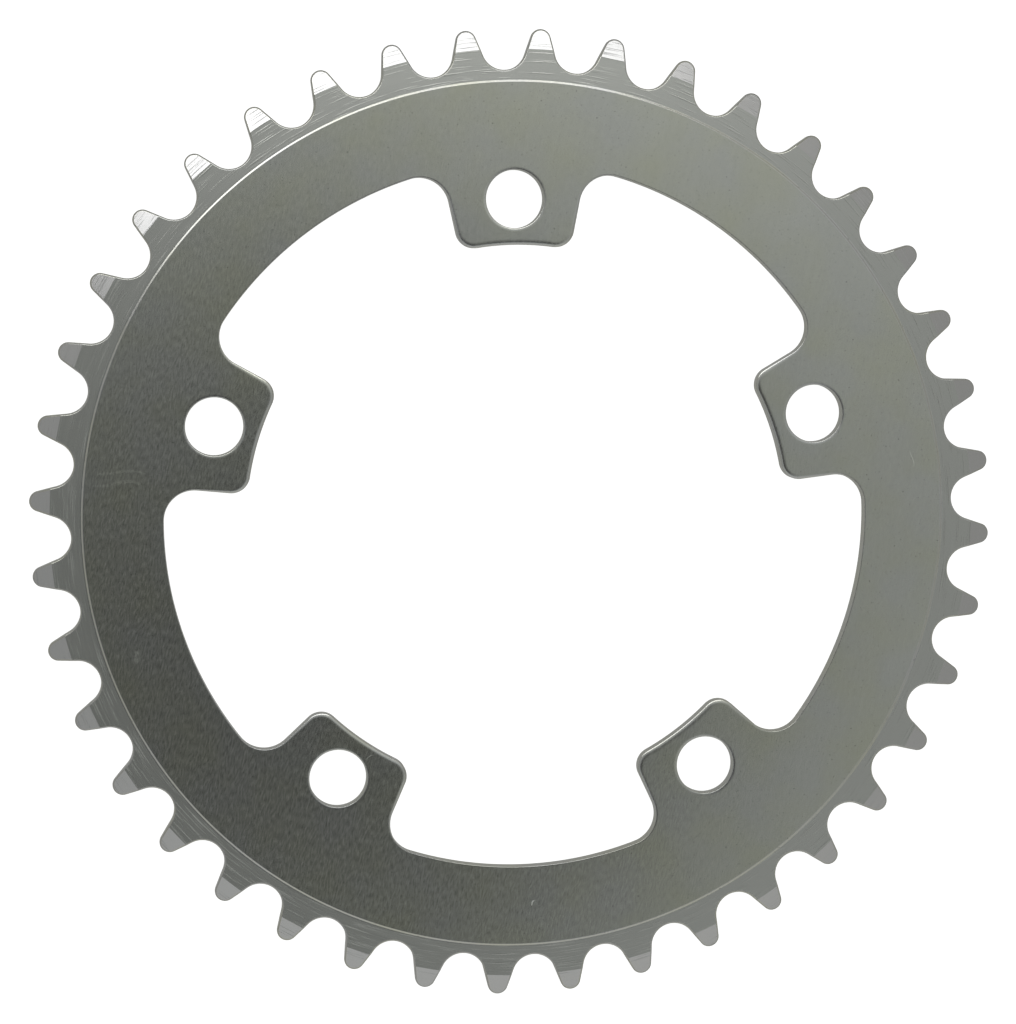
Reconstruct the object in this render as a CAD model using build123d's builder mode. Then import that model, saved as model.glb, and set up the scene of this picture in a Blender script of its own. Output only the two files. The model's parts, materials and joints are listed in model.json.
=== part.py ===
from build123d import *
import math
import os

# Bicycle chainring, one flat piece of aluminium with five short inward arms.
# The ring's axis is Z, its back face lies on Z = 0 and the first arm points along +Y.

# Teeth, for a chain of half-inch pitch
tooth_count = 40
chain_pitch = 12.7
roller_diameter = 7.75
seat_clearance = 0.02
tip_height = 3.15
tip_round = 1.75
tooth_turn = 1.07

# Section, with a tooth band turned a little thinner than the body on both faces
tooth_thickness = 2.1
front_step = 0.06
back_step = 0.14
band_width = 1.75
shoulder_run = 0.35
bevel_length = 3.5
bevel_depth = 0.62

# Arms, with how far they reach inwards and outwards from the bolt circle
arm_count = 5
arm_width = 22.3
arm_inward = 7.85
arm_outward = 6.28
arm_base_round = 5.2
arm_tip_round = 3.2
edge_break = 0.3

# Holes for the chainring bolts
bolt_circle = 110.0
bolt_hole = 10.0
hole_break = 0.25


def polar(radius, angle):
    """The point at a radius and an angle in degrees about the ring's axis."""
    return Vector(radius, 0).rotate(Axis.Z, angle)


# One roller seat and one tooth tip, joined by a straight flank that touches both arcs.
# The seat's centre is on the pitch circle, and the tip's is on the middle of the tooth.
tooth_angle = 360 / tooth_count
pitch_radius = chain_pitch / (2 * math.sin(math.radians(tooth_angle / 2)))
seat_radius = roller_diameter / 2 + seat_clearance
tip_radius = pitch_radius + tip_height
tip_centre = polar(tip_radius - tip_round, tooth_angle / 2)
seat_to_tip = tip_centre - Vector(pitch_radius, 0)
flank_turn = math.degrees(math.acos((seat_radius + tip_round) / seat_to_tip.length))
seat_to_tip_angle = math.degrees(math.atan2(seat_to_tip.Y, seat_to_tip.X))
flank_normal = polar(1, seat_to_tip_angle + flank_turn)
flank_foot = Vector(pitch_radius, 0) + flank_normal * seat_radius
flank_top = tip_centre - flank_normal * tip_round
seat_bottom = Vector(pitch_radius - seat_radius, 0)
tip_top = polar(tip_radius, tooth_angle / 2)


def mirrored(point, angle):
    """The point's mirror image in the line through the axis at this angle."""
    return Vector(point.X, -point.Y).rotate(Axis.Z, 2 * angle)


# The opening inside the ring: a round centre and one window between each pair of arms.
root_radius = pitch_radius - seat_radius
shoulder_radius = root_radius - band_width
rim_radius = bolt_circle / 2 + arm_outward
arm_radius = bolt_circle / 2 - arm_inward
half_arm = math.degrees(math.asin(arm_width / bolt_circle))

with BuildSketch() as window:
    with BuildLine():
        half_window = 180 / arm_count - half_arm
        first_corner = polar(rim_radius, -half_window)
        second_corner = polar(rim_radius, half_window)
        RadiusArc(first_corner, second_corner, -rim_radius)
        Line(second_corner, (0, 0))
        Line((0, 0), first_corner)
    make_face()

with BuildSketch() as opening:
    Circle(arm_radius)
    first_window = 90 + 180 / arm_count
    with PolarLocations(0, arm_count, start_angle=first_window):
        add(window.sketch)
    fillet(opening.vertices().group_by(SortBy.DISTANCE)[-1], radius=arm_base_round)
    fillet(opening.vertices().group_by(SortBy.DISTANCE)[0], radius=arm_tip_round)

with BuildPart() as chainring:
    with BuildSketch() as outline:
        with BuildLine():
            first_seat = 90 + tooth_turn
            for tooth in range(tooth_count):
                angle = first_seat + tooth * tooth_angle
                near_foot = mirrored(flank_foot, 0).rotate(Axis.Z, angle)
                far_foot = flank_foot.rotate(Axis.Z, angle)
                near_top = flank_top.rotate(Axis.Z, angle)
                far_top = mirrored(flank_top, tooth_angle / 2).rotate(Axis.Z, angle)
                next_foot = mirrored(flank_foot, 0).rotate(Axis.Z, angle + tooth_angle)
                ThreePointArc(near_foot, seat_bottom.rotate(Axis.Z, angle), far_foot)
                Line(far_foot, near_top)
                ThreePointArc(near_top, tip_top.rotate(Axis.Z, angle), far_top)
                Line(far_top, next_foot)
        make_face()
        add(opening.sketch, mode=Mode.SUBTRACT)
        with PolarLocations(bolt_circle / 2, arm_count, start_angle=90):
            Circle(bolt_hole / 2, mode=Mode.SUBTRACT)
    body_thickness = back_step + tooth_thickness + front_step
    extrude(amount=body_thickness)

    # Turned faces: the raised body, its sloped shoulders, the thinner tooth band and the bevelled tips.
    band_back = back_step
    band_front = back_step + tooth_thickness
    with BuildSketch(Plane.XZ) as section:
        with BuildLine():
            Polyline(
                (0, 0),
                (shoulder_radius - shoulder_run, 0),
                (shoulder_radius, band_back),
                (tip_radius - bevel_length, band_back),
                (tip_radius, band_back + bevel_depth),
                (tip_radius, band_front - bevel_depth),
                (tip_radius - bevel_length, band_front),
                (shoulder_radius, band_front),
                (shoulder_radius - shoulder_run, body_thickness),
                (0, body_thickness),
                close=True,
            )
        make_face()
    revolve(axis=Axis.Z, mode=Mode.INTERSECT)

    # Broken edges, first round the opening and then at both ends of each bolt hole.
    for side in (0, -1):
        rims = chainring.faces().sort_by(Axis.Z)[side].inner_wires().sort_by(SortBy.LENGTH)
        chamfer(rims[-1].edges(), length=edge_break)
        rims = chainring.faces().sort_by(Axis.Z)[side].inner_wires().sort_by(SortBy.LENGTH)
        chamfer([rim.edge() for rim in rims[:-1]], length=hole_break)

chainring.part.label = "chainring"

os.makedirs("parts", exist_ok=True)
export_step(chainring.part, "parts/chainring.step")
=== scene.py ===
import json
import math

import bmesh
import bpy
from mathutils import Matrix, Vector


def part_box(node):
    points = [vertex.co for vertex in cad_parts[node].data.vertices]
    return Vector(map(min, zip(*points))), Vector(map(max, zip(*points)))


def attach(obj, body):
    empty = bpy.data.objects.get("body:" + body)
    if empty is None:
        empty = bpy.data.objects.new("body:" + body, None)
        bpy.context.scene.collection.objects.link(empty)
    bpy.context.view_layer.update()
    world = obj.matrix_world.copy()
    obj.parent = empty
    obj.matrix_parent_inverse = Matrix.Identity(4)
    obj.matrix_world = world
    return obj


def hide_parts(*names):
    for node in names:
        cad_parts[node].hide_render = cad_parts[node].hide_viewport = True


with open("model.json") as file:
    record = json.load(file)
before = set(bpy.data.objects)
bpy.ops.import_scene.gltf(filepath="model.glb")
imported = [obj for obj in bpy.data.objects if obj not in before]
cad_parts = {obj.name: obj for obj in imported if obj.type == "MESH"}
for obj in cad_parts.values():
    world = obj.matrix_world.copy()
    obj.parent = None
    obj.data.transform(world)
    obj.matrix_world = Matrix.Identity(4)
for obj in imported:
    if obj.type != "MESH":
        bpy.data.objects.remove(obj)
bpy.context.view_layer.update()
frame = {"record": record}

# Chainring, the teeth
# Forty teeth are milled into the rim of the aluminium blank, and their faces are turned thin and bevelled
# in a lathe. One tooth with half a roller seat at each side is shaped here, and repeated later.
MM = 0.001
TOOTH_COUNT = 40
CHAIN_PITCH = 12.7 * MM
SEAT_RADIUS = 3.895 * MM
TIP_HEIGHT = 3.15 * MM
TIP_ROUND = 1.75 * MM
BAND_WIDTH = 1.75 * MM
BAND_DEPTH_FRONT = 0.06 * MM
BAND_DEPTH_BACK = 0.14 * MM
SHOULDER_RUN = 0.26 * MM
SHOULDER_ROUND = 0.30 * MM
SHOULDER_MARGIN = 0.15 * MM
BEVEL_LENGTH = 3.5 * MM
BEVEL_DEPTH = 0.62 * MM
TOOTH_EDGE_ROUND = 0.24 * MM

# A narrow flat strip beside each tooth's rounded edge, and how near to its circle the crease lies
EDGE_SUPPORT = 0.05 * MM
CREASE_REACH = 0.005 * MM

# How a tumbled face rolls off towards its edge, and from which share of the roll it is polished
ROLL_POWER = 3.6
POLISHED_FROM = 0.5

# Steps along each stretch of a tooth, and over its edges
SEAT_STEPS = 14
TIP_STEPS = 10
CREASE_STEPS = 6
SHOULDER_STEPS = 18
SHOULDER_ROUND_STEPS = 4
TOOTH_EDGE_STEPS = 4
ROLL_STEPS = 8

# Each face carries the number of its finish
ZONE_FACE, ZONE_BAND, ZONE_BEVEL, ZONE_EDGE, ZONE_WALL = range(5)

body_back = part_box("chainring")[0].z
body_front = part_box("chainring")[1].z
band_back = body_back + BAND_DEPTH_BACK
band_front = body_front - BAND_DEPTH_FRONT
tooth_angle = 2 * math.pi / TOOTH_COUNT
pitch_radius = CHAIN_PITCH / (2 * math.sin(tooth_angle / 2))
tip_radius = pitch_radius + TIP_HEIGHT
bevel_radius = tip_radius - BEVEL_LENGTH
shoulder_radius = pitch_radius - SEAT_RADIUS - BAND_WIDTH


def polar(radius, angle):
    """A flat point from its radius and its angle in radians."""
    return Vector((radius * math.cos(angle), radius * math.sin(angle)))


def arc(centre, radius, start, end, steps):
    """Points of an arc, without its last, and the directions from the centre to them."""
    angles = [start + (end - start) * step / steps for step in range(steps)]
    return [(centre + polar(radius, a), polar(1, a)) for a in angles]


def flipped(outline):
    """The same points, with their directions turned round."""
    return [(point, -direction) for point, direction in outline]


def mirrored(outline):
    """The outline's mirror image in the X axis, in reverse order."""
    return [(Vector((p.x, -p.y)), Vector((d.x, -d.y))) for p, d in reversed(outline)]


def half_tooth():
    """Points and inward directions from a seat's bottom almost to the tip, and which is the crease."""
    seat_centre = polar(pitch_radius, -tooth_angle / 2)
    tip_centre = Vector((tip_radius - TIP_ROUND, 0))
    gap = tip_centre - seat_centre
    turn = math.acos((SEAT_RADIUS + TIP_ROUND) / gap.length)
    across = math.atan2(gap.y, gap.x) + turn
    flank_normal = polar(1, across)
    foot = seat_centre + flank_normal * SEAT_RADIUS
    top = tip_centre - flank_normal * TIP_ROUND

    # The bevel starts where the flank crosses its circle, and the edge's rows follow that circle inwards.
    reach = (top - foot).normalized()
    along = foot.dot(reach)
    crease = foot + reach * (math.sqrt(along ** 2 - foot.length_squared + bevel_radius ** 2) - along)
    tangent = Vector((-crease.y, crease.x)).normalized()
    crease_normal = tangent / tangent.dot(flank_normal)

    seat = arc(seat_centre, SEAT_RADIUS, math.pi - tooth_angle / 2, across, SEAT_STEPS)
    flank = [(foot, flank_normal), ((foot + crease) / 2, flank_normal), (crease, crease_normal)]
    tip = flipped(arc(tip_centre, TIP_ROUND, across - math.pi, 0, TIP_STEPS))
    return seat + flank + tip, len(seat + flank) - 1


def bevel_fall(radius):
    """How far a bevelled tooth face has fallen at a radius."""
    return max(0.0, radius - bevel_radius) * BEVEL_DEPTH / BEVEL_LENGTH


def bevelled(height, way):
    """The height of a tooth's face at any radius, on the front with a way of 1 and on the back with -1."""
    return lambda radius: height - way * bevel_fall(radius)


def edge_rows(edge_round, steps, roll=0.0, turn=0.0):
    """Offset from the wall, depth and finish of each row over an edge, from the flat face to the wall.

    A tumbled face first falls away gently over the width of the roll, until it has turned by an angle.
    """
    roll_end = edge_round * (1 - math.sin(turn))
    roll_fall = (roll - roll_end) * math.tan(turn) / ROLL_POWER
    if roll:
        rows = []
        for step in range(ROLL_STEPS):
            share = step / ROLL_STEPS
            finish = ZONE_EDGE if share >= POLISHED_FROM else ZONE_FACE
            rows.append((roll + (roll_end - roll) * share, roll_fall * share ** ROLL_POWER, finish))
    else:
        rows = [(edge_round + EDGE_SUPPORT, 0.0, ZONE_EDGE)]
    for step in range(steps + 1):
        tilt = turn + (math.pi / 2 - turn) * step / steps
        depth = roll_fall + edge_round * (math.cos(turn) - math.cos(tilt))
        rows.append((edge_round * (1 - math.sin(tilt)), depth, ZONE_EDGE))
    return rows


def edge_line(mesh, outline, row, face_height, way):
    """One line of vertices over an edge, with an offset and a depth of its own at each point."""
    line = []
    for (point, inward), (offset, depth, finish) in zip(outline, row):
        place = point + inward * offset
        line.append(mesh.verts.new((*place, face_height(place.length) - way * depth)))
    return line


def wall(mesh, outline, edges, front, back, closed):
    """A wall along an outline, with each point's own rows over both edges; returns its outer lines."""
    zone = mesh.faces.layers.int["zone"]
    finishes = [finish for offset, depth, finish in edges[0][:-1]]
    rows = list(zip(*edges))
    lines = [edge_line(mesh, outline, row, front, 1) for row in rows]
    lines += [edge_line(mesh, outline, row, back, -1) for row in reversed(rows)]
    count = len(outline)
    last = count if closed else count - 1
    for upper, lower, finish in zip(lines, lines[1:], finishes + [ZONE_WALL] + finishes[::-1]):
        for k in range(last):
            n = (k + 1) % count
            face = mesh.faces.new((upper[k], upper[n], lower[n], lower[k]))
            face.smooth = True
            face[zone] = finish
    return lines[0], lines[-1]


def rounded_path(points, radius, steps):
    """An open path with each inner corner rounded by an arc."""
    path = [points[0]]
    for before, corner, after in zip(points, points[1:], points[2:]):
        into = (before - corner).normalized()
        out = (after - corner).normalized()
        half = into.angle(out) / 2
        centre = corner + (into + out).normalized() * radius / math.sin(half)
        first = corner + into * radius / math.tan(half) - centre
        second = corner + out * radius / math.tan(half) - centre
        for step in range(steps + 1):
            between = first.lerp(second, step / steps)
            path.append(centre + between.normalized() * radius)
    path.append(points[-1])
    return path


def shoulder_path(band, body):
    """Radius and height along a shoulder, from the tooth band in to the face of the body."""
    foot = shoulder_radius
    top = shoulder_radius - SHOULDER_RUN
    corners = [
        Vector((foot + SHOULDER_MARGIN, band)),
        Vector((foot, band)),
        Vector((top, body)),
        Vector((top - SHOULDER_MARGIN, body)),
    ]
    return rounded_path(corners, SHOULDER_ROUND, SHOULDER_ROUND_STEPS)


def shoulder(mesh, path):
    """The turned shoulder over one tooth's angle; returns its outer row."""
    zone = mesh.faces.layers.int["zone"]
    angles = [tooth_angle * (k / SHOULDER_STEPS - 0.5) for k in range(SHOULDER_STEPS + 1)]
    rows = [[mesh.verts.new((*polar(r, a), z)) for a in angles] for r, z in path]
    for outer, inner in zip(rows, rows[1:]):
        for k in range(SHOULDER_STEPS):
            face = mesh.faces.new((outer[k], outer[k + 1], inner[k + 1], inner[k]))
            face.smooth = True
            face[zone] = ZONE_EDGE
    return rows[0]


def tooth_face(mesh, row, crease, height, shoulder_row):
    """One side's faces of a tooth: the bevelled tip and the turned band below it."""
    zone = mesh.faces.layers.int["zone"]
    left, right = crease, len(row) - 1 - crease
    start = math.atan2(row[left].co.y, row[left].co.x)
    angles = [start * (1 - 2 * k / CREASE_STEPS) for k in range(1, CREASE_STEPS)]
    inner = [mesh.verts.new((*polar(bevel_radius, a), height)) for a in angles]
    bevel = mesh.faces.new(row[left:right + 1] + inner[::-1])
    bevel[zone] = ZONE_BEVEL
    band = mesh.faces.new(row[:left + 1] + inner + row[right:] + shoulder_row[::-1])
    band[zone] = ZONE_BAND
    for face in (bevel, band):
        face.smooth = True


def sharpen_creases(mesh):
    """Marks the crease where the bevel starts, with its ends over the tooth's edges and down its walls."""
    for edge in mesh.edges:
        if all(abs(end.co.xy.length - bevel_radius) < CREASE_REACH for end in edge.verts):
            edge.smooth = False


def new_sector():
    """An empty mesh whose faces carry the number of their finish."""
    mesh = bmesh.new()
    mesh.faces.layers.int.new("zone")
    return mesh


def as_object(name, mesh):
    """A mesh turned into a scene object."""
    data = bpy.data.meshes.new(name)
    mesh.to_mesh(data)
    mesh.free()
    piece = bpy.data.objects.new(name, data)
    bpy.context.scene.collection.objects.link(piece)
    return piece


def tooth_sector():
    """One tooth with the shoulders below it, across one tooth's angle, on +X."""
    mesh = new_sector()
    half, crease = half_tooth()
    tip_middle = (Vector((tip_radius, 0)), Vector((-1, 0)))
    outline = half + [tip_middle] + mirrored(half)
    edges = [edge_rows(TOOTH_EDGE_ROUND, TOOTH_EDGE_STEPS)] * len(outline)
    front, back = bevelled(band_front, 1), bevelled(band_back, -1)
    front_row, back_row = wall(mesh, outline, edges, front, back, closed=False)
    front_shoulder = shoulder(mesh, shoulder_path(band_front, body_front))
    back_shoulder = shoulder(mesh, shoulder_path(band_back, body_back))
    tooth_face(mesh, front_row, crease, band_front, front_shoulder)
    tooth_face(mesh, back_row, crease, band_back, back_shoulder)
    sharpen_creases(mesh)
    return as_object("tooth_sector", mesh)


# Chainring, the rim and arms
# Five arms reach inwards from the rim of the same blank, each with one bolt hole. Tumbling has worn their
# ends soft and the rim less. One arm with the rim at both its sides is shaped here, and repeated later.
ARM_WIDTH = 22.3 * MM
ARM_INWARD = 7.85 * MM
ARM_OUTWARD = 6.28 * MM
ARM_BASE_ROUND = 5.2 * MM
ARM_TIP_ROUND = 3.2 * MM
TOOTH_TURN = math.radians(1.07)

# Worn edges: each face rolls off over a width, turns by an angle, and ends in a small round
RIM_ROLL = 0.35 * MM
RIM_TURN = math.radians(6)
ARM_ROLL = 1.2 * MM
ARM_TURN = math.radians(18)
OPENING_EDGE_ROUND = 0.14 * MM
HOLE_ROLL = 0.75 * MM
HOLE_TURN = math.radians(7)
HOLE_EDGE_ROUND = 0.13 * MM

# Steps along each stretch of the opening and round a hole, and over their edges
ARM_END_STEPS = 12
ARM_TIP_STEPS = 14
ARM_SIDE_STEPS = 4
ARM_BASE_STEPS = 18
RIM_STEPS = 30
HOLE_STEPS = 72
OPENING_EDGE_STEPS = 5
HOLE_EDGE_STEPS = 4

bolts = next(mount for mount in frame["record"]["mounts"] if mount["name"] == "chainring_bolts")
arm_count = bolts["dims"]["count"]
bolt_circle = bolts["dims"]["pcd_mm"] * MM
hole_radius = bolts["dims"]["hole_r_mm"] * MM
rim_radius = bolt_circle / 2 + ARM_OUTWARD
arm_radius = bolt_circle / 2 - ARM_INWARD
arm_angle = 2 * math.pi / arm_count
face_radius = shoulder_radius - SHOULDER_RUN - SHOULDER_MARGIN


def half_arm():
    """Points and inward directions from the middle of an arm's end to the start of the rim's arc."""
    side = math.asin(ARM_WIDTH / bolt_circle)
    tip_turn = math.asin(ARM_TIP_ROUND / (arm_radius + ARM_TIP_ROUND))
    base_turn = math.asin(ARM_BASE_ROUND / (rim_radius - ARM_BASE_ROUND))
    tip_at = side - tip_turn
    base_at = side + base_turn
    tip_centre = polar(arm_radius + ARM_TIP_ROUND, tip_at)
    base_centre = polar(rim_radius - ARM_BASE_ROUND, base_at)
    right_angle = math.pi / 2
    end = arc(Vector((0, 0)), arm_radius, 0, tip_at, ARM_END_STEPS)
    tip_end = side + right_angle - 2 * math.pi
    tip = flipped(arc(tip_centre, ARM_TIP_ROUND, tip_at - math.pi, tip_end, ARM_TIP_STEPS))
    inward = polar(1, side - right_angle)
    flank_start = tip_centre - inward * ARM_TIP_ROUND
    flank_end = base_centre + inward * ARM_BASE_ROUND
    flank = [(flank_start.lerp(flank_end, k / ARM_SIDE_STEPS), inward) for k in range(ARM_SIDE_STEPS)]
    base = arc(base_centre, ARM_BASE_ROUND, side - right_angle, base_at, ARM_BASE_STEPS)
    return end + tip + flank + base, base_at


def arm_outline():
    """The opening's edge across one arm's angle, cut where the tooth pattern has a seat."""
    half, rim_from = half_arm()
    first_cut = TOOTH_TURN - arm_angle / 2
    last_cut = TOOTH_TURN + arm_angle / 2
    centre = Vector((0, 0))
    after = arc(centre, rim_radius, rim_from, last_cut, RIM_STEPS)
    after.append((polar(rim_radius, last_cut), polar(1, last_cut)))
    before = arc(centre, rim_radius, first_cut, -rim_from, RIM_STEPS)
    return before + mirrored(half[1:]) + half + after


def opening_edge(point):
    """The rows over the opening's edge at a point, rolled more the nearer it is to an arm's end."""
    worn = (rim_radius - point.length) / (rim_radius - arm_radius)
    roll = RIM_ROLL + (ARM_ROLL - RIM_ROLL) * worn
    turn = RIM_TURN + (ARM_TURN - RIM_TURN) * worn
    return edge_rows(OPENING_EDGE_ROUND, OPENING_EDGE_STEPS, roll, turn)


def hole_outline():
    """The bolt hole's edge, with directions into the metal."""
    centre = Vector((bolt_circle / 2, 0))
    return arc(centre, hole_radius, 0, 2 * math.pi, HOLE_STEPS)


def level(height):
    """The height of a flat face, the same at any radius."""
    return lambda radius: height


def fill(mesh, loops):
    """Flat faces between a closed outer loop and the holes inside it."""
    zone = mesh.faces.layers.int["zone"]
    edges = []
    for loop in loops:
        for a, b in zip(loop, loop[1:] + loop[:1]):
            edges.append(mesh.edges.get((a, b)) or mesh.edges.new((a, b)))
    made = bmesh.ops.triangle_fill(mesh, use_beauty=True, use_dissolve=False, edges=edges)["geom"]
    for face in made:
        if isinstance(face, bmesh.types.BMFace):
            face.smooth = True
            face[zone] = ZONE_FACE


def arm_sector():
    """One arm with its share of the rim, across one arm's angle, on +X."""
    mesh = new_sector()
    front, back = level(body_front), level(body_back)
    opening = arm_outline()
    opening_edges = [opening_edge(point) for point, inward in opening]
    opening_rows = wall(mesh, opening, opening_edges, front, back, closed=False)
    hole_edges = [edge_rows(HOLE_EDGE_ROUND, HOLE_EDGE_STEPS, HOLE_ROLL, HOLE_TURN)] * HOLE_STEPS
    hole_rows = wall(mesh, hole_outline(), hole_edges, front, back, closed=True)
    steps = SHOULDER_STEPS * TOOTH_COUNT // arm_count
    angles = [TOOTH_TURN + arm_angle * (0.5 - k / steps) for k in range(steps + 1)]
    for opening_row, hole_row, height in zip(opening_rows, hole_rows, (body_front, body_back)):
        rim = [mesh.verts.new((*polar(face_radius, a), height)) for a in angles]
        fill(mesh, [opening_row + rim, hole_row])
    return as_object("arm_sector", mesh)


# Chainring, the finish of its metal
# The ring is bare aluminium: its faces are brushed and tumbled to a satin, the tooth band and the bevels
# keep the fine rings of the lathe, and the rounded edges are polished by the tumbling.
GREY = (0.425, 0.430, 0.398, 1.0)
BAND_GREY = (0.428, 0.432, 0.406, 1.0)
BEVEL_GREY = (0.440, 0.440, 0.440, 1.0)
EDGE_GREY = (0.440, 0.442, 0.430, 1.0)
YELLOWED = (1.0, 1.0, 0.90, 1.0)
BRUSH_RELIEF = 0.0013 * MM
BAND_RELIEF = 0.05 * MM
BEVEL_RELIEF = 0.075 * MM

# Brush marks, in cells to the metre across them and along them, and how far they lean to the left
BRUSH_CELLS = (3900, 850)
LONG_BRUSH_CELLS = (1300, 120)
BRUSH_LEAN = math.radians(14)
BRUSH_SHADE = 0.14
LONG_BRUSH_SHADE = 0.06
BRUSH_ROUGHENING = 0.12

# What tumbling and age leave, in cells to the metre
SPECK_CELLS = 2600.0
SPECK_HEIGHT = 0.2
PIT_LEVEL = 0.16
PIT_SHADE = 2.5
MOTTLE_CELLS = 900.0
MOTTLE_ROUGHENING = 0.03
CLOUD_CELLS = 110.0
CLOUD_SHADE = 0.07
STAIN_CELLS = 90.0
STAIN_LEVEL = 0.4
STAIN_CONTRAST = 3.0

# Lathe rings, in cells to the metre outwards and to the radian along them
RING_CELLS = (3000.0, 4.0)
RING_SHADE = 0.03
RING_ROUGHENING = 0.04
RING_HEIGHT = 0.02
GROOVE_CELLS = (4000.0, 9.0)
GROOVE_LEVEL = 0.08
QUARTER_TURN = 0.25

# A mark's wave over half its length, in radians, its droop past the middle, how its ends fade,
# how broken it is, and how far below the front face it still shows. Most marks are wear; one is a painted
# highlight on a dent
WAVE_TURN = 2.6
WAVE_START = 0.3
DROOP = -3.2
DROOP_POWER = 3.0
END_POWER = 4.0
BREAK_CELLS = 1500.0
BREAK_CONTRAST = 1.5
BREAK_LEVEL = 0.8
MARK_REACH = 0.5 * MM


def feed(tree, slot, value):
    """Links a node's input to a value that is an output, or else sets the input to it."""
    if isinstance(value, bpy.types.NodeSocket):
        tree.links.new(value, slot)
    else:
        slot.default_value = value


def socket(tree, kind, name, where, value=None):
    """A named input or output of a node group."""
    made = tree.interface.new_socket(name=name, in_out=where, socket_type=kind)
    if value is not None:
        made.default_value = value


def maths(tree, operation, *values):
    """A Math node whose inputs are numbers or links."""
    node = tree.nodes.new("ShaderNodeMath")
    node.operation = operation
    for slot, value in zip(node.inputs, values):
        feed(tree, slot, value)
    return node.outputs[0]


def noise(tree, vector, scale, detail):
    """Noise about zero, about half a unit either way."""
    node = tree.nodes.new("ShaderNodeTexNoise")
    node.inputs["Scale"].default_value = scale
    node.inputs["Detail"].default_value = detail
    tree.links.new(vector, node.inputs["Vector"])
    return maths(tree, "SUBTRACT", node.outputs["Fac"], 0.5)


def brush_marks(tree, vector, cells):
    """Noise drawn out along the brush marks, with its cells to the metre across and along them."""
    turning = tree.nodes.new("ShaderNodeVectorRotate")
    turning.rotation_type = "Z_AXIS"
    turning.inputs["Angle"].default_value = BRUSH_LEAN
    tree.links.new(vector, turning.inputs["Vector"])
    stretch = tree.nodes.new("ShaderNodeVectorMath")
    stretch.operation = "MULTIPLY"
    stretch.inputs[1].default_value = (*cells, 1.0)
    tree.links.new(turning.outputs[0], stretch.inputs[0])
    return noise(tree, stretch.outputs[0], scale=1.0, detail=2.0)


def blend_colours(tree, blend, factor, first, second):
    """A Mix node for colours, whose inputs are values or links."""
    node = tree.nodes.new("ShaderNodeMix")
    node.data_type = "RGBA"
    node.blend_type = blend
    for name, value in (("Factor", factor), ("A", first), ("B", second)):
        feed(tree, node.inputs[name], value)
    return node.outputs["Result"]


def finish_group(name):
    """A node group that gives a metal's colour and roughness their grain, and the grain's height."""
    tree = bpy.data.node_groups.new(name, "ShaderNodeTree")
    socket(tree, "NodeSocketVector", "Vector", "INPUT")
    for where in ("INPUT", "OUTPUT"):
        socket(tree, "NodeSocketColor", "Colour", where)
        socket(tree, "NodeSocketFloat", "Roughness", where)
    socket(tree, "NodeSocketFloat", "Height", "OUTPUT")
    return tree, tree.nodes.new("NodeGroupInput").outputs, tree.nodes.new("NodeGroupOutput").inputs


def brushed_group():
    """Short brush marks, steep and leaning left, with the small pits, specks and stains of tumbling."""
    tree, given, out = finish_group("brushed_and_tumbled")
    place = given["Vector"]
    brush = brush_marks(tree, place, BRUSH_CELLS)
    long_brush = brush_marks(tree, place, LONG_BRUSH_CELLS)
    specks = noise(tree, place, SPECK_CELLS, detail=1.0)
    clouds = noise(tree, place, CLOUD_CELLS, detail=3.0)
    mottling = noise(tree, place, MOTTLE_CELLS, detail=2.0)
    pits = maths(tree, "MINIMUM", maths(tree, "ADD", specks, PIT_LEVEL), 0.0)
    grain = maths(tree, "MULTIPLY_ADD", brush, BRUSH_SHADE, 1.0)
    grain = maths(tree, "MULTIPLY_ADD", long_brush, LONG_BRUSH_SHADE, grain)
    grain = maths(tree, "MULTIPLY_ADD", clouds, CLOUD_SHADE, grain)
    grain = maths(tree, "MULTIPLY_ADD", pits, PIT_SHADE, grain)
    shaded = blend_colours(tree, "MULTIPLY", 1.0, given["Colour"], grain)
    blotches = noise(tree, place, STAIN_CELLS, detail=2.0)
    stains = maths(tree, "MULTIPLY_ADD", blotches, STAIN_CONTRAST, STAIN_LEVEL)
    stains = maths(tree, "MINIMUM", maths(tree, "MAXIMUM", stains, 0.0), 1.0)
    tree.links.new(blend_colours(tree, "MULTIPLY", stains, shaded, YELLOWED), out["Colour"])
    roughness = maths(tree, "MULTIPLY_ADD", brush, BRUSH_ROUGHENING, given["Roughness"])
    tree.links.new(maths(tree, "MULTIPLY_ADD", mottling, MOTTLE_ROUGHENING, roughness), out["Roughness"])
    tree.links.new(maths(tree, "MULTIPLY_ADD", specks, SPECK_HEIGHT, brush), out["Height"])
    return tree


def rings(tree, radius, turn, cells):
    """Noise drawn out into rings about the axis, from a radius and a turn in radians."""
    per_metre, per_radian = cells
    ring = tree.nodes.new("ShaderNodeCombineXYZ")
    tree.links.new(maths(tree, "MULTIPLY", radius, per_metre), ring.inputs["X"])
    tree.links.new(maths(tree, "MULTIPLY", turn, per_radian), ring.inputs["Y"])
    return noise(tree, ring.outputs[0], scale=1.0, detail=1.0)


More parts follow.
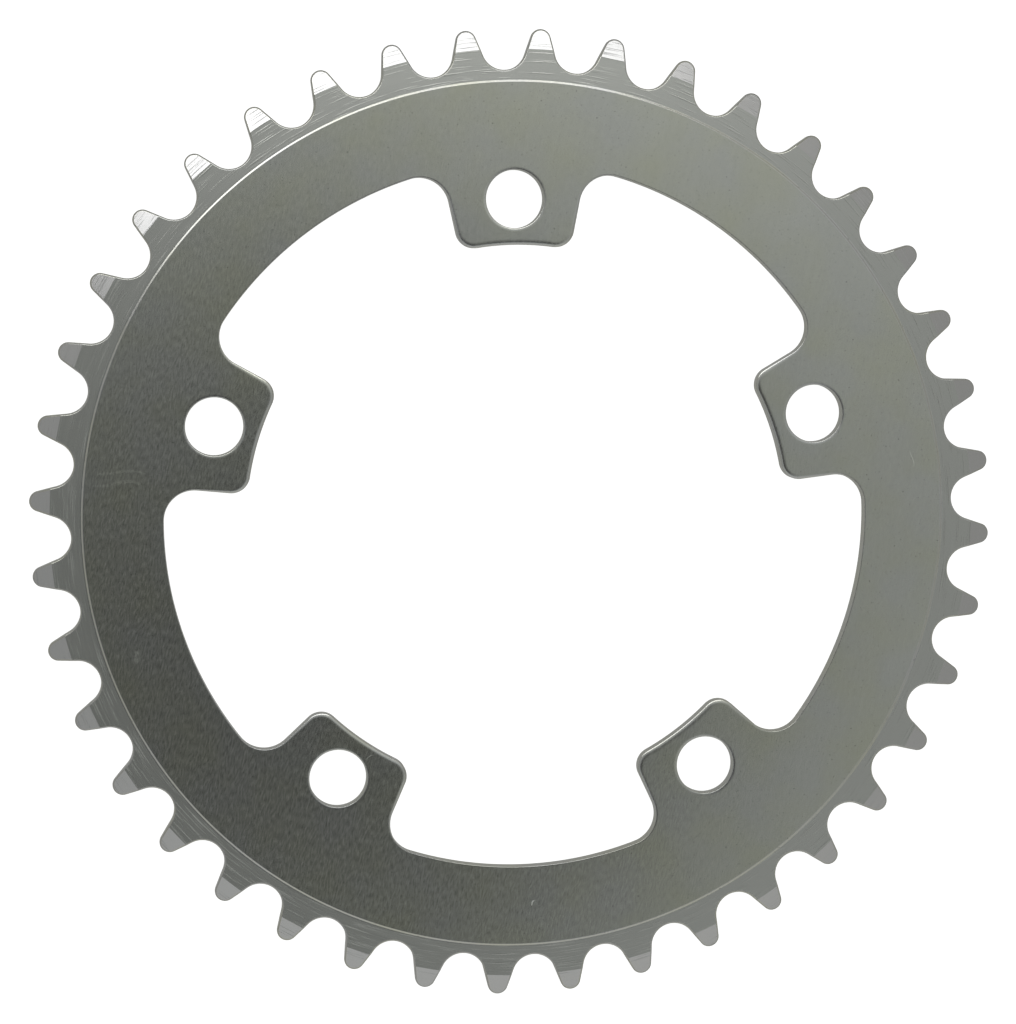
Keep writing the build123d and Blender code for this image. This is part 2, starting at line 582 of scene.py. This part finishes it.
def lathe_group():
    """Fine rings about the axis, and a few deeper grooves that come and go along the turn."""
    tree, given, out = finish_group("lathe_rings")
    split = tree.nodes.new("ShaderNodeSeparateXYZ")
    tree.links.new(given["Vector"], split.inputs[0])
    x, y = split.outputs["X"], split.outputs["Y"]
    radius = maths(tree, "SQRT", maths(tree, "MULTIPLY_ADD", x, x, maths(tree, "MULTIPLY", y, y)))
    turn = maths(tree, "ARCTAN2", y, x)
    fine = rings(tree, radius, turn, RING_CELLS)
    groove = maths(tree, "SUBTRACT", rings(tree, radius, turn, GROOVE_CELLS), GROOVE_LEVEL)
    groove = maths(tree, "MAXIMUM", groove, 0.0)
    shade = maths(tree, "MULTIPLY_ADD", fine, RING_SHADE, 1.0)
    tree.links.new(blend_colours(tree, "MULTIPLY", 1.0, given["Colour"], shade), out["Colour"])
    tree.links.new(maths(tree, "MULTIPLY_ADD", fine, RING_ROUGHENING, given["Roughness"]), out["Roughness"])
    tree.links.new(maths(tree, "MULTIPLY_ADD", fine, RING_HEIGHT, groove), out["Height"])
    return tree


def mark_group():
    """A mask of one streak on the front, which waves and then droops, from its middle, turn and sizes."""
    tree = bpy.data.node_groups.new("wear_and_highlight_mark", "ShaderNodeTree")
    socket(tree, "NodeSocketVector", "Vector", "INPUT")
    socket(tree, "NodeSocketVector", "Middle", "INPUT")
    for name in ("Turn", "Half length", "Half width", "Wave"):
        socket(tree, "NodeSocketFloat", name, "INPUT")
    socket(tree, "NodeSocketFloat", "Mask", "OUTPUT")
    given = tree.nodes.new("NodeGroupInput").outputs

    # The place as seen from the mark's middle, along it and across it
    place = tree.nodes.new("ShaderNodeVectorRotate")
    place.rotation_type = "Z_AXIS"
    tree.links.new(given["Vector"], place.inputs["Vector"])
    tree.links.new(given["Middle"], place.inputs["Center"])
    tree.links.new(maths(tree, "MULTIPLY", given["Turn"], -1.0), place.inputs["Angle"])
    away = tree.nodes.new("ShaderNodeVectorMath")
    away.operation = "SUBTRACT"
    tree.links.new(place.outputs[0], away.inputs[0])
    tree.links.new(given["Middle"], away.inputs[1])
    split = tree.nodes.new("ShaderNodeSeparateXYZ")
    tree.links.new(away.outputs[0], split.inputs[0])
    along = maths(tree, "DIVIDE", split.outputs["X"], given["Half length"])

    # The streak's line, bent by its wave and its droop
    wave = maths(tree, "SINE", maths(tree, "MULTIPLY_ADD", along, WAVE_TURN, WAVE_START))
    droop = maths(tree, "POWER", maths(tree, "MAXIMUM", along, 0.0), DROOP_POWER)
    wave = maths(tree, "MULTIPLY_ADD", droop, DROOP, wave)
    bend = maths(tree, "MULTIPLY", wave, given["Wave"])
    off_line = maths(tree, "SUBTRACT", split.outputs["Y"], bend)
    across = maths(tree, "DIVIDE", off_line, given["Half width"])

    # The mask fades from that line to the streak's sides and ends, and is broken up
    towards_end = maths(tree, "POWER", maths(tree, "ABSOLUTE", along), END_POWER)
    faded = maths(tree, "MULTIPLY_ADD", across, across, towards_end)
    inside = maths(tree, "MAXIMUM", maths(tree, "SUBTRACT", 1.0, faded), 0.0)
    break_up = noise(tree, given["Vector"], BREAK_CELLS, detail=2.0)
    broken = maths(tree, "MULTIPLY_ADD", break_up, BREAK_CONTRAST, BREAK_LEVEL)
    mask = maths(tree, "MULTIPLY", inside, maths(tree, "MAXIMUM", broken, 0.0))
    on_front = maths(tree, "GREATER_THAN", split.outputs["Z"], -MARK_REACH)
    mask = maths(tree, "MULTIPLY", mask, on_front)
    tree.links.new(mask, tree.nodes.new("NodeGroupOutput").inputs["Mask"])
    return tree


# Each mark's middle, turn in degrees, half length, half width and wave, with lengths in millimetres, and
# how much it lightens the metal
MARKS = {
    "upper smear": ((-68.4, 9.6), 0, 4.7, 0.36, 0.24, 0.26),
    "lower smear": ((-68.7, 7.7), 0, 4.7, 0.38, 0.40, 0.26),
    # A painted highlight: the light caught by the rim of a small dent at the left, lightened into the
    # metal's colour
    "left dent highlight": ((-66.3, -22.1), 75, 1.3, 0.85, 0.0, 0.42),
    "arm scratch": ((-26.9, -40.9), 28, 0.9, 0.09, 0.1, 1.3),
    "bottom scratch": ((1.3, -67.8), 60, 0.6, 0.14, 0.1, 2.0),
    "right scratch": ((70.0, 8.6), -75, 1.6, 0.10, 0.1, 0.35),
}


def metal(name, group, colour, relief, roughness, across_grooves=0.0):
    """Bare aluminium with the grain of one of the groups, duller across its grooves where it has any."""
    material = bpy.data.materials.new(name)
    material.use_nodes = True
    tree = material.node_tree
    shader = tree.nodes["Principled BSDF"]
    shader.inputs["Metallic"].default_value = 1.0
    place = tree.nodes.new("ShaderNodeTexCoord").outputs["Object"]
    grain = tree.nodes.new("ShaderNodeGroup")
    grain.node_tree = group
    grain.inputs["Colour"].default_value = colour
    grain.inputs["Roughness"].default_value = roughness
    tree.links.new(place, grain.inputs["Vector"])
    tree.links.new(grain.outputs["Colour"], shader.inputs["Base Color"])
    tree.links.new(grain.outputs["Roughness"], shader.inputs["Roughness"])
    bump = tree.nodes.new("ShaderNodeBump")
    bump.inputs["Strength"].default_value = 1.0
    bump.inputs["Distance"].default_value = relief
    tree.links.new(grain.outputs["Height"], bump.inputs["Height"])
    tree.links.new(bump.outputs["Normal"], shader.inputs["Normal"])
    if across_grooves:
        round_axis = tree.nodes.new("ShaderNodeTangent")
        round_axis.direction_type = "RADIAL"
        round_axis.axis = "Z"
        tree.links.new(round_axis.outputs[0], shader.inputs["Tangent"])
        shader.inputs["Anisotropic"].default_value = across_grooves
        shader.inputs["Anisotropic Rotation"].default_value = QUARTER_TURN
    return material


def add_marks(material):
    """Lightens the metal where it is smeared or scratched, and paints the highlight on a small dent's rim.
    """
    tree = material.node_tree
    grain = next(node for node in tree.nodes if node.type == "GROUP")
    place = grain.inputs["Vector"].links[0].from_socket
    target = tree.nodes["Principled BSDF"].inputs["Base Color"]
    lighter = 1.0
    group = mark_group()
    for name, (middle, turn, half_length, half_width, wave, lightening) in MARKS.items():
        mark = tree.nodes.new("ShaderNodeGroup")
        mark.node_tree = group
        mark.label = name
        mark.inputs["Middle"].default_value = (*(value * MM for value in middle), body_front)
        mark.inputs["Turn"].default_value = math.radians(turn)
        mark.inputs["Half length"].default_value = half_length * MM
        mark.inputs["Half width"].default_value = half_width * MM
        mark.inputs["Wave"].default_value = wave * MM
        tree.links.new(place, mark.inputs["Vector"])
        lighter = maths(tree, "MULTIPLY_ADD", mark.outputs["Mask"], lightening, lighter)
    tree.links.new(blend_colours(tree, "MULTIPLY", 1.0, grain.outputs["Colour"], lighter), target)


brushed = brushed_group()
lathe = lathe_group()
finishes = {
    ZONE_FACE: metal("brushed_face", brushed, GREY, BRUSH_RELIEF, roughness=0.20),
    ZONE_BAND: metal("turned_band", lathe, BAND_GREY, BAND_RELIEF, roughness=0.25, across_grooves=0.3),
    ZONE_BEVEL: metal("turned_bevel", lathe, BEVEL_GREY, BEVEL_RELIEF, roughness=0.21),
    ZONE_EDGE: metal("tumbled_edge", brushed, EDGE_GREY, BRUSH_RELIEF, roughness=0.18),
    ZONE_WALL: metal("milled_wall", brushed, GREY, BRUSH_RELIEF, roughness=0.35),
}
add_marks(finishes[ZONE_FACE])

# Chainring, put together
# The teeth and arms above are parts of one solid ring of aluminium plate. They are repeated round the
# axis, and joined into a single closed skin that stands for the solid.
SEAM = 0.001 * MM


def add(tree, kind, **inputs):
    """A node with its inputs set by name, to numbers or links."""
    node = tree.nodes.new(kind)
    for name, value in inputs.items():
        feed(tree, node.inputs[name.replace("_", " ")], value)
    return node


def ring_of(tree, sector, count, first_angle):
    """A sector repeated round Z, starting at an angle."""
    taken = add(tree, "GeometryNodeObjectInfo", Object=sector)
    points = add(tree, "GeometryNodePoints", Count=count)
    index = tree.nodes.new("GeometryNodeInputIndex")
    share = maths(tree, "DIVIDE", index.outputs[0], count)
    angle = maths(tree, "ADD", maths(tree, "MULTIPLY", share, 2 * math.pi), first_angle)
    turn = add(tree, "FunctionNodeAxisAngleToRotation", Axis=(0, 0, 1), Angle=angle)
    placed = add(
        tree, "GeometryNodeInstanceOnPoints",
        Points=points.outputs[0], Instance=taken.outputs["Geometry"], Rotation=turn.outputs[0],
    )
    return placed.outputs[0]


def chainring_tree():
    """Repeats the tooth and the arm round the axis, closes the seams and gives each zone its finish."""
    tree = bpy.data.node_groups.new("chainring_from_sectors", "GeometryNodeTree")
    socket(tree, "NodeSocketGeometry", "Geometry", "INPUT")
    socket(tree, "NodeSocketObject", "Tooth", "INPUT")
    socket(tree, "NodeSocketInt", "Tooth count", "INPUT", TOOTH_COUNT)
    socket(tree, "NodeSocketFloat", "First tooth", "INPUT")
    socket(tree, "NodeSocketObject", "Arm", "INPUT")
    socket(tree, "NodeSocketInt", "Arm count", "INPUT", arm_count)
    socket(tree, "NodeSocketFloat", "First arm", "INPUT")
    socket(tree, "NodeSocketFloat", "Seam", "INPUT", SEAM)
    socket(tree, "NodeSocketGeometry", "Geometry", "OUTPUT")
    given = tree.nodes.new("NodeGroupInput").outputs
    teeth = ring_of(tree, given["Tooth"], given["Tooth count"], given["First tooth"])
    arms = ring_of(tree, given["Arm"], given["Arm count"], given["First arm"])
    together = tree.nodes.new("GeometryNodeJoinGeometry")
    tree.links.new(teeth, together.inputs[0])
    tree.links.new(arms, together.inputs[0])
    solid = add(tree, "GeometryNodeRealizeInstances", Geometry=together.outputs[0])
    closed = add(tree, "GeometryNodeMergeByDistance", Geometry=solid.outputs[0], Distance=given["Seam"])
    skin = closed.outputs[0]
    zone = tree.nodes.new("GeometryNodeInputNamedAttribute")
    zone.data_type = "INT"
    zone.inputs["Name"].default_value = "zone"
    for number, material in finishes.items():
        same = tree.nodes.new("FunctionNodeCompare")
        same.data_type = "INT"
        same.operation = "EQUAL"
        tree.links.new(zone.outputs["Attribute"], same.inputs["A"])
        same.inputs["B"].default_value = number
        painted = add(
            tree, "GeometryNodeSetMaterial",
            Geometry=skin, Selection=same.outputs[0], Material=material,
        )
        skin = painted.outputs[0]
    tree.links.new(skin, tree.nodes.new("NodeGroupOutput").inputs[0])
    return tree


def set_inputs(modifier, values):
    """Sets a modifier's inputs by their names."""
    for item in modifier.node_group.interface.items_tree:
        if item.in_out == "INPUT" and item.name in values:
            modifier[item.identifier] = values[item.name]


def build_chainring():
    """The whole visual ring as one plain mesh."""
    tooth = tooth_sector()
    arm = arm_sector()
    carrier = as_object("chainring_carrier", bmesh.new())
    modifier = carrier.modifiers.new("ring", "NODES")
    modifier.node_group = chainring_tree()
    first_arm = math.pi / 2
    set_inputs(modifier, {
        "Tooth": tooth,
        "Tooth count": TOOTH_COUNT,
        "First tooth": first_arm + TOOTH_TURN + tooth_angle / 2,
        "Arm": arm,
        "Arm count": arm_count,
        "First arm": first_arm,
        "Seam": SEAM,
    })
    ready = bpy.context.evaluated_depsgraph_get()
    data = bpy.data.meshes.new_from_object(carrier.evaluated_get(ready))
    for helper in (carrier, tooth, arm):
        bpy.data.objects.remove(helper)
    mesh = bmesh.new()
    mesh.from_mesh(data)
    bmesh.ops.recalc_face_normals(mesh, faces=mesh.faces)
    mesh.to_mesh(data)
    mesh.free()
    piece = bpy.data.objects.new("chainring_skin", data)
    bpy.context.scene.collection.objects.link(piece)
    return piece


ring = build_chainring()
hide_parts("chainring")
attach(ring, "root")

# Floor
# A plain white table under the ring. To the camera it is as bright as white paper, and it keeps the
# ring's soft shadow. It lies a hair below the ring, and from below it is clear, so that the back shows.
FLOOR_HALF = 3.0
FLOOR_GAP = 0.02 * MM
FLOOR_LIFT = 0.9
FLOOR_TO_METAL = 0.3
FLOOR_GREY = (0.45, 0.45, 0.45, 1.0)
FLOOR_ROUGHNESS = 0.9


def floor_material():
    """White paper, at full brightness to the camera and faint in the metal, and clear from below."""
    material = bpy.data.materials.new("white_floor")
    material.use_nodes = True
    tree = material.node_tree
    shader = tree.nodes["Principled BSDF"]
    shader.inputs["Base Color"].default_value = FLOOR_GREY
    shader.inputs["Roughness"].default_value = FLOOR_ROUGHNESS
    shader.inputs["Specular IOR Level"].default_value = 0.0
    path = tree.nodes.new("ShaderNodeLightPath")
    to_metal = maths(tree, "MULTIPLY", path.outputs["Is Glossy Ray"], FLOOR_TO_METAL)
    seen = maths(tree, "MAXIMUM", path.outputs["Is Camera Ray"], path.outputs["Is Transmission Ray"])
    seen = maths(tree, "MAXIMUM", seen, to_metal)
    glow = tree.nodes.new("ShaderNodeEmission")
    tree.links.new(maths(tree, "MULTIPLY", seen, FLOOR_LIFT), glow.inputs["Strength"])
    both = tree.nodes.new("ShaderNodeAddShader")
    tree.links.new(shader.outputs[0], both.inputs[0])
    tree.links.new(glow.outputs[0], both.inputs[1])
    below = tree.nodes.new("ShaderNodeMixShader")
    clear = tree.nodes.new("ShaderNodeBsdfTransparent")
    tree.links.new(tree.nodes.new("ShaderNodeNewGeometry").outputs["Backfacing"], below.inputs["Fac"])
    tree.links.new(both.outputs[0], below.inputs[1])
    tree.links.new(clear.outputs[0], below.inputs[2])
    tree.links.new(below.outputs[0], tree.nodes["Material Output"].inputs["Surface"])
    return material


def build_floor():
    """A large square just below the ring's back face."""
    mesh = bmesh.new()
    half = FLOOR_HALF
    corners = [(-half, -half), (half, -half), (half, half), (-half, half)]
    mesh.faces.new([mesh.verts.new((x, y, body_back - FLOOR_GAP)) for x, y in corners])
    piece = as_object("floor", mesh)
    piece.data.materials.append(floor_material())
    return piece


build_floor()

# Studio light
# A pale light tent, brighter overhead than low down. It has a dark gap near where the camera looks in,
# with a glow on either side of the gap. One soft box hangs above the ring, towards its top.
TENT_WHITE = (1.0, 1.0, 0.96, 1.0)
GAP_WHITE = (0.96, 1.0, 1.0, 1.0)
TENT_LEVEL = 0.49
ROOM_LEVEL = 0.45
GAP_LEVEL = 0.06
GLOW_LEVEL = 0.25
SIDE_GLOW_LEVEL = 0.36
GAP_TOWARDS = Vector((0.05, -0.15, 1.0))
GLOW_TOWARDS = Vector((0.1, -0.70, 1.0))
SIDE_GLOW_TOWARDS = Vector((0.27, 0.21, 1.0))
SOFTBOX_WIDTH = 0.80
SOFTBOX_DEPTH = 0.3
SOFTBOX_POWER = 2.05
SOFTBOX_AT = Vector((-0.04, 0.455, 1.1))

# The angles from its middle, in degrees, between which each patch of the tent fades out
TENT_TURN = (38, 72)
GAP_TURN = (6.3, 11)
GAP_TINT_TURN = (8, 30)
GLOW_TURN = (10, 34)
SIDE_GLOW_TURN = (1, 16)


def patch(tree, direction, towards, turns):
    """A mask that fades from 1 to 0 between two angles, in degrees, from a direction."""
    facing = tree.nodes.new("ShaderNodeVectorMath")
    facing.operation = "DOT_PRODUCT"
    tree.links.new(direction, facing.inputs[0])
    facing.inputs[1].default_value = towards.normalized()
    fade = tree.nodes.new("ShaderNodeMapRange")
    fade.interpolation_type = "SMOOTHSTEP"
    fade.inputs["From Min"].default_value = math.cos(math.radians(turns[1]))
    fade.inputs["From Max"].default_value = math.cos(math.radians(turns[0]))
    tree.links.new(facing.outputs["Value"], fade.inputs["Value"])
    return fade.outputs["Result"]


def mixed(tree, mask, first, second):
    """A number that goes from the first to the second with a mask."""
    node = add(tree, "ShaderNodeMix", Factor=mask, A=first, B=second)
    return node.outputs["Result"]


def tent_world():
    """The tent as the world's light, and plain white to the camera."""
    world = bpy.data.worlds.new("light_tent")
    bpy.context.scene.world = world
    world.use_nodes = True
    tree = world.node_tree
    sky = tree.nodes["Background"]
    direction = tree.nodes.new("ShaderNodeTexCoord").outputs["Generated"]
    overhead = patch(tree, direction, Vector((0, 0, 1)), TENT_TURN)
    glow = patch(tree, direction, GLOW_TOWARDS, GLOW_TURN)
    side_glow = patch(tree, direction, SIDE_GLOW_TOWARDS, SIDE_GLOW_TURN)
    gap = patch(tree, direction, GAP_TOWARDS, GAP_TURN)
    near_gap = patch(tree, direction, GAP_TOWARDS, GAP_TINT_TURN)
    light = mixed(tree, overhead, ROOM_LEVEL, TENT_LEVEL)
    light = maths(tree, "MULTIPLY_ADD", glow, GLOW_LEVEL, light)
    light = maths(tree, "MULTIPLY_ADD", side_glow, SIDE_GLOW_LEVEL, light)
    light = mixed(tree, gap, light, GAP_LEVEL)
    tree.links.new(blend_colours(tree, "MIX", near_gap, TENT_WHITE, GAP_WHITE), sky.inputs["Color"])
    path = tree.nodes.new("ShaderNodeLightPath")
    tree.links.new(mixed(tree, path.outputs["Is Camera Ray"], light, 1.0), sky.inputs["Strength"])


def soft_box():
    """A rectangular area light that faces the ring."""
    light = bpy.data.lights.new("soft_box", "AREA")
    light.shape = "RECTANGLE"
    light.size = SOFTBOX_WIDTH
    light.size_y = SOFTBOX_DEPTH
    light.energy = SOFTBOX_POWER
    lamp = bpy.data.objects.new("soft_box", light)
    lamp.location = SOFTBOX_AT
    lamp.rotation_euler = (-SOFTBOX_AT).to_track_quat("-Z", "Y").to_euler()
    bpy.context.scene.collection.objects.link(lamp)


tent_world()
soft_box()

# Camera
# A long lens half a metre above the ring. It looks down from the upper left of the ring's axis, so that
# the walls at the lower right of the opening and the holes show.
CAMERA_AT = Vector((-72.2, 47.9, 523.8)) * MM
LOOKS_AT = Vector((-2.0, 1.07, 0.0)) * MM
CAMERA_ROLL = math.radians(-0.83)
LENS = 107.68
SENSOR_WIDTH = 36.0
NEAREST = 0.01
FARTHEST = 20.0


def build_camera():
    """A long lens with the ring's +Y upwards in the picture."""
    data = bpy.data.cameras.new("camera")
    data.lens = LENS
    data.sensor_width = SENSOR_WIDTH
    data.clip_start = NEAREST
    data.clip_end = FARTHEST
    camera = bpy.data.objects.new("camera", data)
    ahead = (LOOKS_AT - CAMERA_AT).normalized()
    right = ahead.cross(Vector((0, 1, 0))).normalized()
    up = right.cross(ahead)
    turn = Matrix((right, up, -ahead)).transposed() @ Matrix.Rotation(CAMERA_ROLL, 3, "Z")
    front_face = Vector((0, 0, body_front))
    camera.matrix_world = Matrix.Translation(front_face + CAMERA_AT) @ turn.to_4x4()
    bpy.context.scene.collection.objects.link(camera)
    bpy.context.scene.camera = camera


build_camera()
bpy.context.scene.view_settings.view_transform = "Standard"
